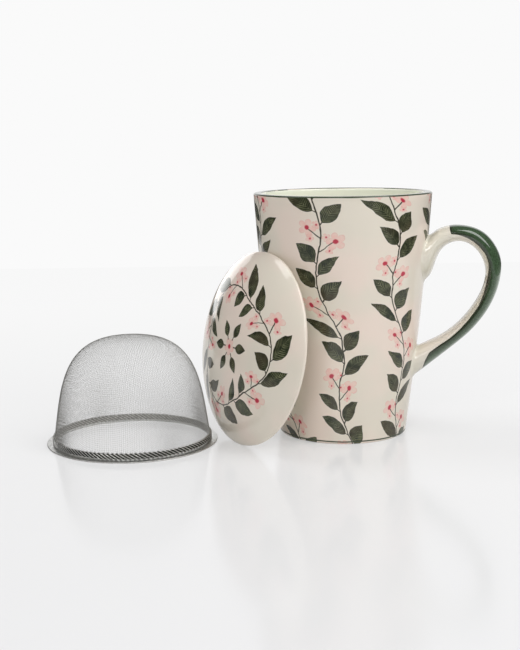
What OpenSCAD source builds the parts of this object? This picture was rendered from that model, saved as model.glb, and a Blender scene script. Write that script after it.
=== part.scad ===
// Stoneware tea mug with a loose lid and a drop-in wire-mesh infuser.
// The mug stands on the table, the lid leans against its wall and the infuser lies
// upside down beside it. Origin: centre of the foot, on the table. +Z is up, +X runs
// through the handle.

/* [Mug] */
// Height of the mug
mug_h = 120; // [90:1:140]
// Outer radius at the rim
rim_r = 43.95; // [38:0.05:50]
// Outer radius where the wall meets the table
foot_r = 31.8; // [26:0.1:36]
// How much the wall bulges between foot and rim (0 is a straight cone)
wall_bow = 0.32; // [0:0.01:0.5]
// Thickness of the wall
wall_t = 3.8; // [3:0.1:5]
// Thickness of the floor above the foot's recess
floor_t = 5.5; // [4:0.5:8]
// Radius of the hollow's corner between wall and floor
floor_fillet = 10; // [5:0.5:14]
// Length of the straight mouth that the infuser drops into
mouth_len = 6.5; // [4:0.5:10]

/* [Foot ring] */
// Width of the unglazed ring that the mug stands on
foot_ring_w = 3.6; // [2:0.1:5]
// Depth of the recess inside the ring
foot_recess = 1.6; // [1:0.1:3]
// Rounding of the foot's outer edge
foot_round = 1.0; // [0.5:0.1:1.5]

/* [Handle] */
// Width of the strap, across the fingers
strap_w = 15.5; // [10:0.5:18]
// Roundness of the strap's section (2 is an ellipse, more is squarer)
strap_squareness = 2.1; // [2:0.1:4]
// Width of the upper foot where it is luted to the wall
upper_foot_w = 24; // [16:1:28]
// Width of the lower foot where it is luted to the wall
lower_foot_w = 19; // [14:1:24]

/* [Lid] */
// Outer radius of the lid
lid_r = 47; // [44.5:0.1:50]
// Height of the dome above the seat
lid_h = 13.6; // [10:0.1:18]
// Thickness of the edge
lid_edge = 1.5; // [1.2:0.1:2.5]
// Thickness of the dome
lid_t = 4.2; // [3:0.1:5]
// Outer radius of the locating ring under the lid
locator_r = 35.5; // [32:0.1:36.5]
// Width of the locating ring
locator_w = 3; // [2:0.1:4]
// How far the locating ring stands below the seat
locator_h = 3.2; // [2:0.1:3.4]

/* [Infuser] */
// Height of the infuser, from the flange to the bottom of the bowl
infuser_h = 52.3; // [40:0.1:60]
// Radius of the mesh wall at the hem
mesh_r = 38.2; // [34:0.1:38.4]
// How much the wall narrows towards the bottom of the bowl
mesh_taper = 6.8; // [0:0.1:10]
// Thickness of the woven skin
mesh_t = 0.5; // [0.4:0.1:0.8]
// Outer radius of the flange that sits on the rim
flange_r = 41.85; // [41:0.05:43]
// Thickness of the flange
flange_t = 0.6; // [0.5:0.1:1]
// How far the hem stands out from the mesh wall
hem_w = 0.9; // [0.6:0.1:1.1]
// Height of the hem
hem_h = 3.5; // [2:0.1:4]
// Openings in a row round the bowl's wall, which stand for the weave
grid_count = 24; // [16:4:24]
// Width of the bars between those openings
grid_bar = 2; // [1.5:0.1:3]

/* [Layout on the table] */
// Angle between the lid's face and the upright as it leans
lid_lean = 10.06; // [8:0.01:14]
// Direction the lid's dome faces
lid_facing = 220.7; // [215:0.1:225]
// Direction of the lid's middle from the mug's axis
lid_bearing = 216.7; // [212:0.1:222]
// Distance of the lid's middle from the mug's axis
lid_distance = 50.3; // [50.3:0.1:60]
// Direction of the infuser's middle from the mug's axis
infuser_bearing = 199.8; // [190:0.1:204]
// Distance of the infuser's middle from the mug's axis
infuser_distance = 106.8; // [104:0.1:130]

/* [Hidden] */

round_steps = 96;           // segments of the revolved pieces
wall_steps = 24;            // straight stretches that make up the wall's curve
arc_steps = 6;              // straight stretches of a small rounded edge
skin_steps = 28;            // straight stretches of the mesh bowl's curve
section_steps = 28;         // points round the handle's section
span_steps = 4;             // sections between two of the handle's stations

cream_glaze = [0.86, 0.81, 0.76];
green_glaze = [0.20, 0.33, 0.24];
steel = [0.70, 0.70, 0.69];
woven_steel = [0.60, 0.60, 0.59];

lip_in = 1.4;               // the lip's rounding on the inside, along and across
lip_out = 0.9;              // the lip's rounding on the outside
mouth_z = mug_h - lip_in - mouth_len;
mouth_r = wall_r(mouth_z) - wall_t;
lip_crest_r = mouth_r + lip_in;
floor_z = foot_recess + floor_t;

mesh_start = 4.3;           // the mesh wall is straight up to this height, behind the hem
mesh_flatness = 4;          // how late the wall turns in towards the bottom of the bowl
mesh_rounding = 0.345;      // how round that turn is

dome_power = 2.184;         // the lid's dome: a little fuller than a spherical cap
dome_rounding = 1 / 1.2;
dome_steps = 22;

// ---- the profiles ----

// Outer radius of the mug's wall at height z.
function wall_r(z) =
    let (t = z / mug_h)
    foot_r + (rim_r - foot_r) * ((1 + wall_bow) * t - wall_bow * t * t);

// Points of an elliptic arc in the profile plane.
function arc(centre, across, up, from, to) =
    [for (i = [0:arc_steps])
        let (a = from + (to - from) * i / arc_steps)
        centre + [across * cos(a), up * sin(a)]];

// A list without its first entry, which the list before it already holds.
function rest(list) = [for (i = [1:len(list) - 1]) list[i]];

// Outer wall, from just above the foot to just below the lip.
function outer_wall() =
    [for (i = [0:wall_steps])
        let (z = foot_round + (mug_h - lip_out - foot_round) * i / wall_steps)
        [wall_r(z), z]];

// Inner wall, from the mouth down to the floor's fillet.
function inner_wall() =
    let (bottom = floor_z + floor_fillet)
    [for (i = [0:wall_steps])
        let (z = mouth_z + (bottom - mouth_z) * i / wall_steps)
        [wall_r(z) - wall_t, z]];

// The wall's outer outline with its rounded foot and lip, from the table to the flat crest.
function outside_profile() = concat(
    arc([wall_r(foot_round) - foot_round, foot_round], foot_round, foot_round, -90, 0),
    rest(outer_wall()),
    rest(arc([wall_r(mug_h - lip_out) - lip_out, mug_h - lip_out], lip_out, lip_out, 0, 90))
);

// Radius of the mesh bowl's outer face at height z above the table.
function bowl_r(z) =
    let (u = max(0, z - mesh_start) / (infuser_h - mesh_start))
    (mesh_r - mesh_taper * u) * pow(max(0, 1 - pow(u, mesh_flatness)), mesh_rounding);

// Outline of the bowl from the flange to its crown, `inset` inside the outer face.
function bowl_outline(inset) =
    let (top = infuser_h - inset)
    [for (i = [0:skin_steps])
        let (a = 90 * i / skin_steps)
        let (z = flange_t + (top - flange_t) * sin(a))
        [i == skin_steps ? 0 : bowl_r(z * infuser_h / top) - inset * cos(a), z]];

// Length of an outline from its start to point i.
function run_to(line, i) = i == 0 ? 0 : run_to(line, i - 1) + norm(line[i] - line[i - 1]);

// Radius, height and elevation of the outward normal at a length s along an outline.
function at_run(line, s) =
    let (i = max([for (k = [0:len(line) - 2]) if (run_to(line, k) <= s) k]))
    let (way = line[i + 1] - line[i])
    concat(line[i] + way * (s - run_to(line, i)) / norm(way), [atan2(way[1], way[0]) - 90]);

// Height of the lid's outer face at radius r above the seat.
function dome_z(r) =
    lid_edge + (lid_h - lid_edge) * pow(1 - pow(r / lid_r, dome_power), dome_rounding);

// ---- the handle's loft ----

// Stations of the strap as seen from the side, from the upper foot to the lower one:
// [inner edge x, z], [outer edge x, z], width, and how much narrower the inner edge is.
stations = [
    [[37.0, 75.0], [38.0, 96.0], upper_foot_w, 0.30],
    [[43.1, 78.4], [43.3, 98.9], upper_foot_w * 0.96, 0.30],
    [[46.2, 87.0], [47.2, 101.9], strap_w + 5.0, 0.20],
    [[50.0, 93.2], [51.7, 103.2], strap_w + 2.2, 0.08],
    [[57.1, 95.9], [57.6, 103.6], strap_w + 0.6, 0],
    [[64.3, 92.9], [68.6, 100.7], strap_w, 0],
    [[69.0, 86.0], [76.5, 89.9], strap_w, 0],
    [[69.8, 77.6], [77.2, 78.4], strap_w, 0],
    [[66.5, 68.1], [73.0, 65.0], strap_w, 0],
    [[58.5, 57.0], [64.4, 52.8], strap_w, 0],
    [[49.7, 49.8], [55.0, 44.3], strap_w + 0.4, 0],
    [[42.5, 46.0], [46.1, 36.9], strap_w + 1.4, -0.06],
    [[37.0, 43.3], [36.2, 28.9], lower_foot_w * 0.94, -0.14],
    [[31.0, 41.0], [30.6, 25.0], lower_foot_w, -0.16]
];

// Control point that makes a cubic B-spline pass through station i, in one of its columns.
function control(i, column) =
    let (last = len(stations) - 1)
    let (here = stations[max(0, min(i, last))][column])
    i <= 0 || i >= last ? here
        : here * 4 / 3 - (stations[i - 1][column] + stations[i + 1][column]) / 6;

// Station s, which may lie between two of the list, in one of its columns.
function station(s, column) =
    let (i = min(floor(s), len(stations) - 2))
    let (t = s - i)
    (control(i - 1, column) * pow(1 - t, 3)
        + control(i, column) * (3 * t * t * t - 6 * t * t + 4)
        + control(i + 1, column) * (-3 * t * t * t + 3 * t * t + 3 * t + 1)
        + control(i + 2, column) * t * t * t) / 6;

// Signed power, which turns a circle into a rounded square.
function squared(v) = sign(v) * pow(abs(v), 2 / strap_squareness);

// One section of the strap as a ring of points.
function section(s) =
    let (inner = station(s, 0))
    let (outer = station(s, 1))
    let (width = station(s, 2))
    let (egg = station(s, 3))
    [for (k = [0:section_steps - 1])
        let (a = 360 * k / section_steps)
        let (p = (inner + outer) / 2 + (outer - inner) / 2 * squared(cos(a)))
        let (y = width / 2 * squared(sin(a)) * (1 + egg * cos(a)))
        [p[0], y, p[1]]];

// A closed skin over rings of points, capped flat at both ends.
module loft(rings) {
    n = len(rings[0]);
    last = len(rings) - 1;
    points = [for (ring = rings) each ring];
    sides = [
        for (i = [0:last - 1])
        for (k = [0:n - 1])
        let (a = i * n + k)
        let (b = i * n + (k + 1) % n)
        each [[a, b, b + n], [a, b + n, a + n]]
    ];
    caps = [[for (k = [n - 1:-1:0]) k], [for (k = [0:n - 1]) last * n + k]];
    polyhedron(points = points, faces = concat(sides, caps), convexity = 6);
}

// ---- the pieces ----

// The space that the mug's outline fills, without its hollow.
module mug_envelope() {
    rotate_extrude($fn = round_steps)
        polygon(concat([[0, 0]], outside_profile(), [[0, mug_h]]));
}

// Slip-cast body: a bowed, tapering wall with a rounded lip, a straight mouth and a foot ring.
module mug_body() {
    ring_r = wall_r(foot_round) - foot_round - foot_ring_w;
    corner_r = wall_r(floor_z + floor_fillet) - wall_t - floor_fillet;
    color(cream_glaze)
        rotate_extrude($fn = round_steps)
            polygon(concat(
                [[0, foot_recess]],
                arc([ring_r - foot_round, foot_recess - foot_round], foot_round, foot_round,
                    90, 0),
                [[ring_r, 0]],
                outside_profile(),
                arc([lip_crest_r, mug_h - lip_in], lip_in, lip_in, 90, 180),
                inner_wall(),
                rest(arc([corner_r, floor_z + floor_fillet], floor_fillet, floor_fillet,
                    0, -90)),
                [[0, floor_z]]
            ));
}

// Pulled strap handle, flared into two feet that are luted to the wall.
module handle() {
    last = len(stations) - 1;
    color(green_glaze)
        difference() {
            loft([for (s = [0:1 / span_steps:last]) section(s)]);
            mug_envelope();
        }
}

// Domed lid with a flat seat and a locating ring, in its own upright place.
module lid_upright() {
    ring_in = locator_r - locator_w;
    tip = locator_w / 2;
    edge = lid_edge / 2;
    rotate_extrude($fn = round_steps)
        polygon(concat(
            [for (i = [0:dome_steps]) let (r = ring_in * i / dome_steps) [r, dome_z(r) - lid_t]],
            arc([ring_in + tip, tip - locator_h], tip, tip, 180, 360),
            [[locator_r, 0]],
            arc([lid_r - edge, edge], edge, edge, -90, 0),
            [for (i = [1:dome_steps])
                let (r = lid_r * cos(90 * i / dome_steps))
                [i == dome_steps ? 0 : r, dome_z(r)]]
        ));
}

// The lid as it leans: its edge on the table and its seat towards the mug.
module lid() {
    edge = lid_edge / 2;
    middle_z = (lid_r - edge) * cos(lid_lean) + edge - edge * sin(lid_lean);
    color(cream_glaze)
        rotate([0, 0, lid_bearing])
            translate([lid_distance, 0, middle_z])
                rotate([0, 90 - lid_lean, lid_facing - lid_bearing])
                    lid_upright();
}

// Where the infuser lies on the table, flange down.
module at_infuser() {
    rotate([0, 0, infuser_bearing])
        translate([infuser_distance, 0, 0])
            children();
}

// Stamped flange with a rounded outer edge and a low step that carries the hem.
module infuser_flange() {
    inner = mesh_r - mesh_t;
    half = flange_t / 2;
    color(steel)
        at_infuser()
            rotate_extrude($fn = round_steps)
                polygon(concat(
                    [[inner, 0]],
                    arc([flange_r - half, half], half, half, -90, 90),
                    [[inner, flange_t]]
                ));
}

// Folded hem of mesh round the bowl's mouth.
module infuser_hem() {
    round = hem_w * 0.6;
    top = flange_t + hem_h;
    color(woven_steel)
        at_infuser()
            rotate_extrude($fn = round_steps)
                polygon(concat(
                    [[mesh_r, flange_t]],
                    arc([mesh_r + hem_w - round, flange_t + round], round, round, -90, 0),
                    arc([mesh_r + hem_w - round, top - round], round, round, 0, 90),
                    [[mesh_r, top]]
                ));
}

// Openings of a grid that follows the bowl in rows, from just above the hem to a round one at
// its crown. Where the bars would crowd, every second one ends.
module grid_openings() {
    middle = bowl_outline(mesh_t / 2);
    total = run_to(middle, skin_steps);
    pitch = 2 * PI * mesh_r / grid_count;
    first = hem_h + (grid_bar + pitch) / 2;
    rows = round((total - first) / pitch);
    opening = (total - first) / rows - grid_bar;
    for (i = [0:rows - 1]) {
        place = at_run(middle, first + i * (total - first) / rows);
        count = grid_count / (place[0] > 0.7 * mesh_r ? 1 : place[0] > 0.4 * mesh_r ? 2 : 4);
        narrow_r = place[0] - opening / 2 * sin(place[2]);
        width = 2 * narrow_r * tan(180 / count) - grid_bar;
        for (k = [0:count - 1])
            rotate([0, 0, 360 * k / count])
                translate([place[0], 0, place[1]])
                    rotate([0, -place[2], 0])
                        cube([opening, width, opening], center = true);
    }
    translate([0, 0, infuser_h])
        cylinder(h = opening, r = opening / 2, center = true);
}

// Bowl of woven wire, drawn to a dome. The weave is far too fine to cut, so a plain grid of
// bars as thick as the weave stands for it.
module infuser_mesh() {
    inside = bowl_outline(mesh_t);
    color(woven_steel)
        at_infuser()
            difference() {
                rotate_extrude($fn = round_steps)
                    polygon(concat(
                        bowl_outline(0),
                        [for (i = [skin_steps:-1:0]) inside[i]]
                    ));
                grid_openings();
            }
}

mug_body();
handle();
lid();
infuser_flange();
infuser_hem();
infuser_mesh();
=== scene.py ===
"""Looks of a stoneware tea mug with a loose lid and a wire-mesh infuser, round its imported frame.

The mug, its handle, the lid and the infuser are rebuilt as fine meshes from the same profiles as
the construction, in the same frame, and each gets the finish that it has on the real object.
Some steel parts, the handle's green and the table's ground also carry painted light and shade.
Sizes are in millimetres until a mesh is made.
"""
import sys

import logging
import math
from collections.abc import Callable, Iterable, Sequence
from dataclasses import dataclass, field
from enum import Enum
from functools import reduce
from typing import Any

import bpy
import numpy as np
from mathutils import Euler, Matrix, Vector


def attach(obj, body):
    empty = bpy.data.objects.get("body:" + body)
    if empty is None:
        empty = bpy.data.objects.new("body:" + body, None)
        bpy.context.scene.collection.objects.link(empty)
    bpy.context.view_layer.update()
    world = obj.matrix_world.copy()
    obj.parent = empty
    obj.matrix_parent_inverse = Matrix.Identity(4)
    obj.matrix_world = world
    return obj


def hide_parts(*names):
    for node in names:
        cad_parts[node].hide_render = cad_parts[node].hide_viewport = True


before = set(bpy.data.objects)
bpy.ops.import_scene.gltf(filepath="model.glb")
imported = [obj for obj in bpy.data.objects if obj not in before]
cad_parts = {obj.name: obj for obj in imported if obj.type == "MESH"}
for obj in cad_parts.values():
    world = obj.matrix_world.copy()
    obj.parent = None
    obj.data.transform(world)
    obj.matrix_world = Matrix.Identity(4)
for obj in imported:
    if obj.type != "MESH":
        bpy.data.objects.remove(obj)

MM = 0.001
TURN = 2 * math.pi
# Points of an outline that lie closer than this, in mm, are one point.
TINY = 1e-6

log = logging.getLogger("tea_mug")

Colour = tuple[float, float, float, float]
Socket = bpy.types.NodeSocket
Tree = bpy.types.NodeTree
Material = bpy.types.Material
Piece = bpy.types.Object
Point = tuple[float, float]


class Body(Enum):
    """The bodies that pieces ride on."""

    MUG = "mug"
    LID = "lid"
    INFUSER = "infuser"


class Slot(Enum):
    """The record's material slots."""

    CREAM_GLAZE = "cream_glaze"
    GREEN_GLAZE = "green_glaze"
    POLISHED_STEEL = "polished_steel"
    WOVEN_STEEL = "woven_steel"


# ---- colours and nodes ----

# The setting that names a node's task, for the kinds that have several.
TASKS = {
    "Math": "operation",
    "VectorMath": "operation",
    "MapRange": "interpolation_type",
    "Mix": "data_type",
}


def linear(hex_colour: str) -> Colour:
    """Turns an sRGB colour into the linear one that shaders take.

    Args:
        hex_colour: six hex digits, such as "D8CFC2".

    Returns:
        Linear red, green, blue and an alpha of 1.
    """
    parts = [int(hex_colour[i : i + 2], 16) / 255 for i in (0, 2, 4)]
    r, g, b = (c / 12.92 if c <= 0.04045 else ((c + 0.055) / 1.055) ** 2.4 for c in parts)
    return (r, g, b, 1.0)


def per_m(size_mm: float) -> float:
    """Returns the scale at which a texture's pattern is so many mm across."""
    return 1 / (size_mm * MM)


def add(tree: Tree, kind: str, *inputs: Any, out: str = "", **settings: Any) -> Socket | None:
    """Adds one node with its settings, values and links.

    Args:
        tree: the node tree that gets the node.
        kind: the node's type without "ShaderNode" in front and, after a dot, its task.
        *inputs: sockets or values for the inputs in use, in order, or one dict of them by name.
        out: the output to return, if it isn't the first one in use.
        **settings: properties of the node.

    Returns:
        The output, or None from an output node.
    """
    kind, _, task = kind.partition(".")
    node = tree.nodes.new(kind if kind.startswith("Node") else "ShaderNode" + kind)
    if task:
        settings[TASKS[kind]] = task
    for name, value in settings.items():
        setattr(node, name, value)
    if inputs and isinstance(inputs[0], dict):
        pairs = [(node.inputs[name], value) for name, value in inputs[0].items()]
    else:
        pairs = zip([socket for socket in node.inputs if socket.enabled], inputs)
    for socket, value in pairs:
        if isinstance(value, Socket):
            tree.links.new(value, socket)
        else:
            socket.default_value = value
    used = [socket for socket in node.outputs if socket.enabled]
    return node.outputs[out] if out else next(iter(used), None)


def new_material(name: str) -> tuple[Material, Tree, Socket]:
    """Makes an empty material.

    Args:
        name: the material's name.

    Returns:
        The material, its node tree, and the object's own coordinates in it, in metres.
    """
    material = bpy.data.materials.new(name)
    material.use_nodes = True
    tree = material.node_tree
    tree.nodes.clear()
    return material, tree, add(tree, "TexCoord", out="Object")


def close(tree: Tree, sockets: dict[str, Any]) -> None:
    """Ends a material in a Principled shader, given that shader's inputs by name."""
    add(tree, "OutputMaterial", add(tree, "BsdfPrincipled", sockets))


# ---- meshes ----


@dataclass
class Run:
    """A stretch of a turned piece's outline, with one finish."""

    points: list[Point]
    finish: int = 0


def arc(centre: Point, across: float, up: float, start: float, end: float, steps: int) -> list[Point]:
    """Points of an elliptic arc in the profile plane.

    Args:
        centre: its centre, radius and height.
        across: half its width.
        up: half its height.
        start: the first point's angle in degrees.
        end: the last point's angle.
        steps: how many straight stretches it has.

    Returns:
        The points, both ends included.
    """
    angles = [math.radians(start + (end - start) * i / steps) for i in range(steps + 1)]
    return [(centre[0] + across * math.cos(a), centre[1] + up * math.sin(a)) for a in angles]


def mesh_piece(
    name: str,
    points: np.ndarray,
    faces: Sequence[Sequence[int]],
    materials: Sequence[Material],
    crease: float = 35.0,
) -> Piece:
    """Makes an object from points in millimetres.

    Args:
        name: the piece's name.
        points: one row per vertex.
        faces: vertex indices of each face.
        materials: the piece's material slots.
        crease: edges that bend by more than this many degrees stay sharp.

    Returns:
        The linked object.
    """
    mesh = bpy.data.meshes.new(name)
    mesh.from_pydata((points * MM).tolist(), [], faces)
    mesh.validate()
    mesh.shade_smooth()
    mesh.set_sharp_from_angle(angle=math.radians(crease))
    for material in materials:
        mesh.materials.append(material)
    piece = bpy.data.objects.new(name, mesh)
    bpy.context.scene.collection.objects.link(piece)
    return piece


def turned(
    name: str,
    runs: Sequence[Run],
    materials: Sequence[Material],
    steps: int = 288,
    crease: float = 35.0,
) -> Piece:
    """Makes a turned piece: an outline taken round the Z axis.

    Args:
        name: the piece's name.
        runs: the outline's stretches, end to end, from one point of the axis to another or closed.
        materials: the piece's finishes, as the runs number them.
        steps: segments round the axis.
        crease: edges that bend by more than this many degrees stay sharp.

    Returns:
        The linked object.
    """
    outline: list[Point] = []
    finishes: list[int] = []
    for run in runs:
        for point in run.points:
            if not outline or math.dist(outline[-1], point) > TINY:
                outline.append(point)
                finishes.append(run.finish)
    closed = outline[0][0] > 0 or outline[-1][0] > 0
    if closed and math.dist(outline[0], outline[-1]) < TINY:
        outline.pop()
        finishes.pop()
    angles = TURN * np.arange(steps) / steps
    points: list[np.ndarray] = []
    starts: list[int] = []
    for r, z in outline:
        starts.append(len(points))
        ring = angles if r > 0 else angles[:1]
        points.extend(np.stack([r * np.cos(ring), r * np.sin(ring), 0 * ring + z], 1))
    faces: list[list[int]] = []
    slots: list[int] = []
    last = len(outline) if closed else len(outline) - 1
    for i in range(last):
        j = (i + 1) % len(outline)
        lone_a, lone_b = outline[i][0] <= 0, outline[j][0] <= 0
        a, b = starts[i], starts[j]
        for k in range(steps):
            n = (k + 1) % steps
            if lone_a:
                faces.append([a, b + n, b + k])
            elif lone_b:
                faces.append([a + k, a + n, b])
            else:
                faces.append([a + k, a + n, b + n, b + k])
            slots.append(finishes[j])
    piece = mesh_piece(name, np.array(points), faces, materials, crease)
    piece.data.polygons.foreach_set("material_index", slots)
    return piece


def tubes(
    lines: Iterable[tuple[np.ndarray, np.ndarray]], radius: float, sides: int = 3
) -> tuple[np.ndarray, list[list[int]]]:
    """Sweeps a small polygon along many lines.

    Args:
        lines: for each line its points and the surface's normals there.
        radius: the wire's radius.
        sides: corners of the polygon.

    Returns:
        All points, and the faces with capped ends.
    """
    all_points: list[np.ndarray] = []
    faces: list[list[int]] = []
    start = 0
    corners = TURN * np.arange(sides) / sides
    for points, normals in lines:
        along = np.gradient(points, axis=0)
        aside = np.cross(along, normals)
        aside /= np.linalg.norm(aside, axis=1, keepdims=True)
        ring = np.cos(corners)[None, :, None] * normals[:, None, :]
        ring = ring + np.sin(corners)[None, :, None] * aside[:, None, :]
        all_points.append((points[:, None, :] + radius * ring).reshape(-1, 3))
        n = len(points)
        base = start + np.arange((n - 1) * sides).reshape(n - 1, sides)
        nxt = np.roll(base, -1, axis=1)
        quads = np.stack([base, nxt, nxt + sides, base + sides], 2).reshape(-1, 4)
        faces.extend(quads.tolist())
        faces.append(list(range(start + sides - 1, start - 1, -1)))
        faces.append(list(range(start + (n - 1) * sides, start + n * sides)))
        start += n * sides
    return np.concatenate(all_points), faces


def join(piece: Piece, body: Body, slot: Slot, *nodes: str) -> Piece:
    """Lets a piece stand for CAD nodes on a body, and reports it.

    Args:
        piece: the finished piece, in its place.
        body: the body that it rides on.
        slot: the record's slot that its finish belongs to; not used.
        *nodes: the CAD nodes that it stands for.

    Returns:
        The same piece.
    """
    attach(piece, body.value)
    if nodes:
        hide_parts(*nodes)
    log.info("%s: %d faces, rides on %s", piece.name, len(piece.data.polygons), body.value)
    return piece


# ---- painted decoration ----

# The masks and tones that a painted pattern is made of.
PAINTED = ("Leaf", "Tone", "Stem", "Petals", "Edge", "Eye")
# Half the width in mm over which the edge of a thin painted line softens.
SOFT = 0.1
# Where nearly all of a noise's values lie.
MOST = (0.3, 0.7)


def new_group(name: str, inputs: Sequence[str], outputs: Sequence[str]) -> tuple[Tree, list[Socket]]:
    """Makes an empty node group of number sockets.

    Args:
        name: the group's name.
        inputs: names of its inputs.
        outputs: names of its outputs.

    Returns:
        The group, and the sockets that bring its inputs.
    """
    group = bpy.data.node_groups.new(name, "ShaderNodeTree")
    for way, labels in (("INPUT", inputs), ("OUTPUT", outputs)):
        for label in labels:
            group.interface.new_socket(name=label, in_out=way, socket_type="NodeSocketFloat")
    return group, group.nodes.new("NodeGroupInput").outputs[: len(inputs)]


@dataclass(frozen=True)
class LeafStroke:
    """One painted leaf: a pointed oval, outlined dark, with a pale midrib and scratched side veins.

    The veins of such a hand-painted leaf lie 0.4 to 0.5 mm apart, too fine to show, so they are
    drawn twice as coarse. They waver, and fade where the colour lies thick.
    """

    soft_edge: float = 0.16
    outline: float = 0.45
    midrib: float = 0.14
    midrib_strength: float = 0.32
    vein_pitch: float = 1.0
    vein_slant: float = 0.9
    vein_from: float = -0.1
    vein_strength: tuple[float, float] = (0.1, 0.78)
    vein_waver: float = 6.0
    waver_mm: float = 4.76
    waver_range: tuple[float, float] = (0.36, 0.64)
    half_tones: tuple[float, float] = (0.1, 0.06)
    base_power: float = 0.78

    def group(self) -> Tree:
        """Makes the node group of a leaf.

        Returns:
            The group: place along and across the leaf in mm, its length and half width, to a mask
            and a tone from 0, dark, to 1, pale.
        """
        tree, given = new_group(
            "painted_leaf", ["Along", "Across", "Length", "Half width"], ["Mask", "Tone"]
        )
        along, across, length, half = given
        share = add(tree, "Math.DIVIDE", along, length, use_clamp=True)
        skewed = add(tree, "Math.POWER", share, self.base_power)
        swing = add(tree, "Math.MULTIPLY", skewed, math.pi)
        bulge = add(tree, "Math.SINE", swing)
        reach = add(tree, "Math.MULTIPLY", bulge, half)
        off = add(tree, "Math.ABSOLUTE", across)
        inside = add(tree, "Math.SUBTRACT", reach, off)
        mask = add(tree, "MapRange.SMOOTHSTEP", inside, 0.0, self.soft_edge)

        place = add(tree, "TexCoord", out="Object")
        hand = add(tree, "TexNoise", place, per_m(self.waver_mm), 1.0, out="Color")
        hands = add(tree, "SeparateColor", hand).node.outputs
        slant = add(tree, "Math.MULTIPLY", off, self.vein_slant)
        forward = add(tree, "Math.SUBTRACT", along, slant)
        waver = add(tree, "Math.MULTIPLY", hands[0], self.vein_waver)
        phase = add(tree, "Math.MULTIPLY_ADD", forward, TURN / self.vein_pitch, waver)
        wave = add(tree, "Math.SINE", phase)
        vein = add(tree, "MapRange.SMOOTHSTEP", wave, self.vein_from, 1.0)
        strength = add(tree, "MapRange", hands[1], *self.waver_range, *self.vein_strength)
        vein = add(tree, "Math.MULTIPLY", vein, strength)
        rib = add(tree, "MapRange.SMOOTHSTEP", off, self.midrib, 0.0, 0.0, self.midrib_strength)
        lines = add(tree, "Math.ADD", vein, rib)
        side = add(tree, "Math.DIVIDE", across, half)
        lit = add(tree, "Math.MULTIPLY_ADD", side, *self.half_tones)
        shown = add(tree, "Math.ADD", lines, lit)
        rim = add(tree, "MapRange.SMOOTHSTEP", inside, 0.0, self.outline)
        tone = add(tree, "Math.MULTIPLY", shown, rim, use_clamp=True)
        add(tree, "NodeGroupOutput", mask, tone)
        return tree


@dataclass(frozen=True)
class Blossom:
    """One painted blossom: five pale petals with a stronger edge, and a red eye."""

    petals: int = 5
    notch: float = 0.48
    lobe_power: float = 0.6
    soft_edge: float = 0.2
    edge_band: tuple[float, float] = (0.6, 0.1)
    eye_share: float = 0.3
    eye_edge: tuple[float, float] = (-0.25, 0.45)

    def group(self) -> Tree:
        """Makes the node group of a blossom.

        Returns:
            The group: place from the middle in mm and the radius, to a petal mask, the share of
            the stronger edge, and a mask for the eye.
        """
        tree, (x, y, radius) = new_group(
            "painted_blossom", ["X", "Y", "Radius"], ["Petals", "Edge", "Eye"]
        )
        far = add(tree, "VectorMath.LENGTH", add(tree, "CombineXYZ", x, y))
        angle = add(tree, "Math.ARCTAN2", y, x)
        half_turns = add(tree, "Math.MULTIPLY", angle, self.petals / 2)
        lobe = add(tree, "Math.ABSOLUTE", add(tree, "Math.COSINE", half_turns))
        lobe = add(tree, "Math.POWER", lobe, self.lobe_power)
        size = add(tree, "Math.MULTIPLY_ADD", lobe, 1 - self.notch, self.notch)
        reach = add(tree, "Math.MULTIPLY", size, radius)
        inside = add(tree, "Math.SUBTRACT", reach, far)
        petal = add(tree, "MapRange.SMOOTHSTEP", inside, 0.0, self.soft_edge)
        edge = add(tree, "MapRange.SMOOTHSTEP", inside, *self.edge_band)
        eye_size = add(tree, "Math.MULTIPLY", radius, self.eye_share)
        in_eye = add(tree, "Math.SUBTRACT", eye_size, far)
        eye = add(tree, "MapRange.SMOOTHSTEP", in_eye, *self.eye_edge)
        add(tree, "NodeGroupOutput", petal, edge, eye)
        return tree


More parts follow.
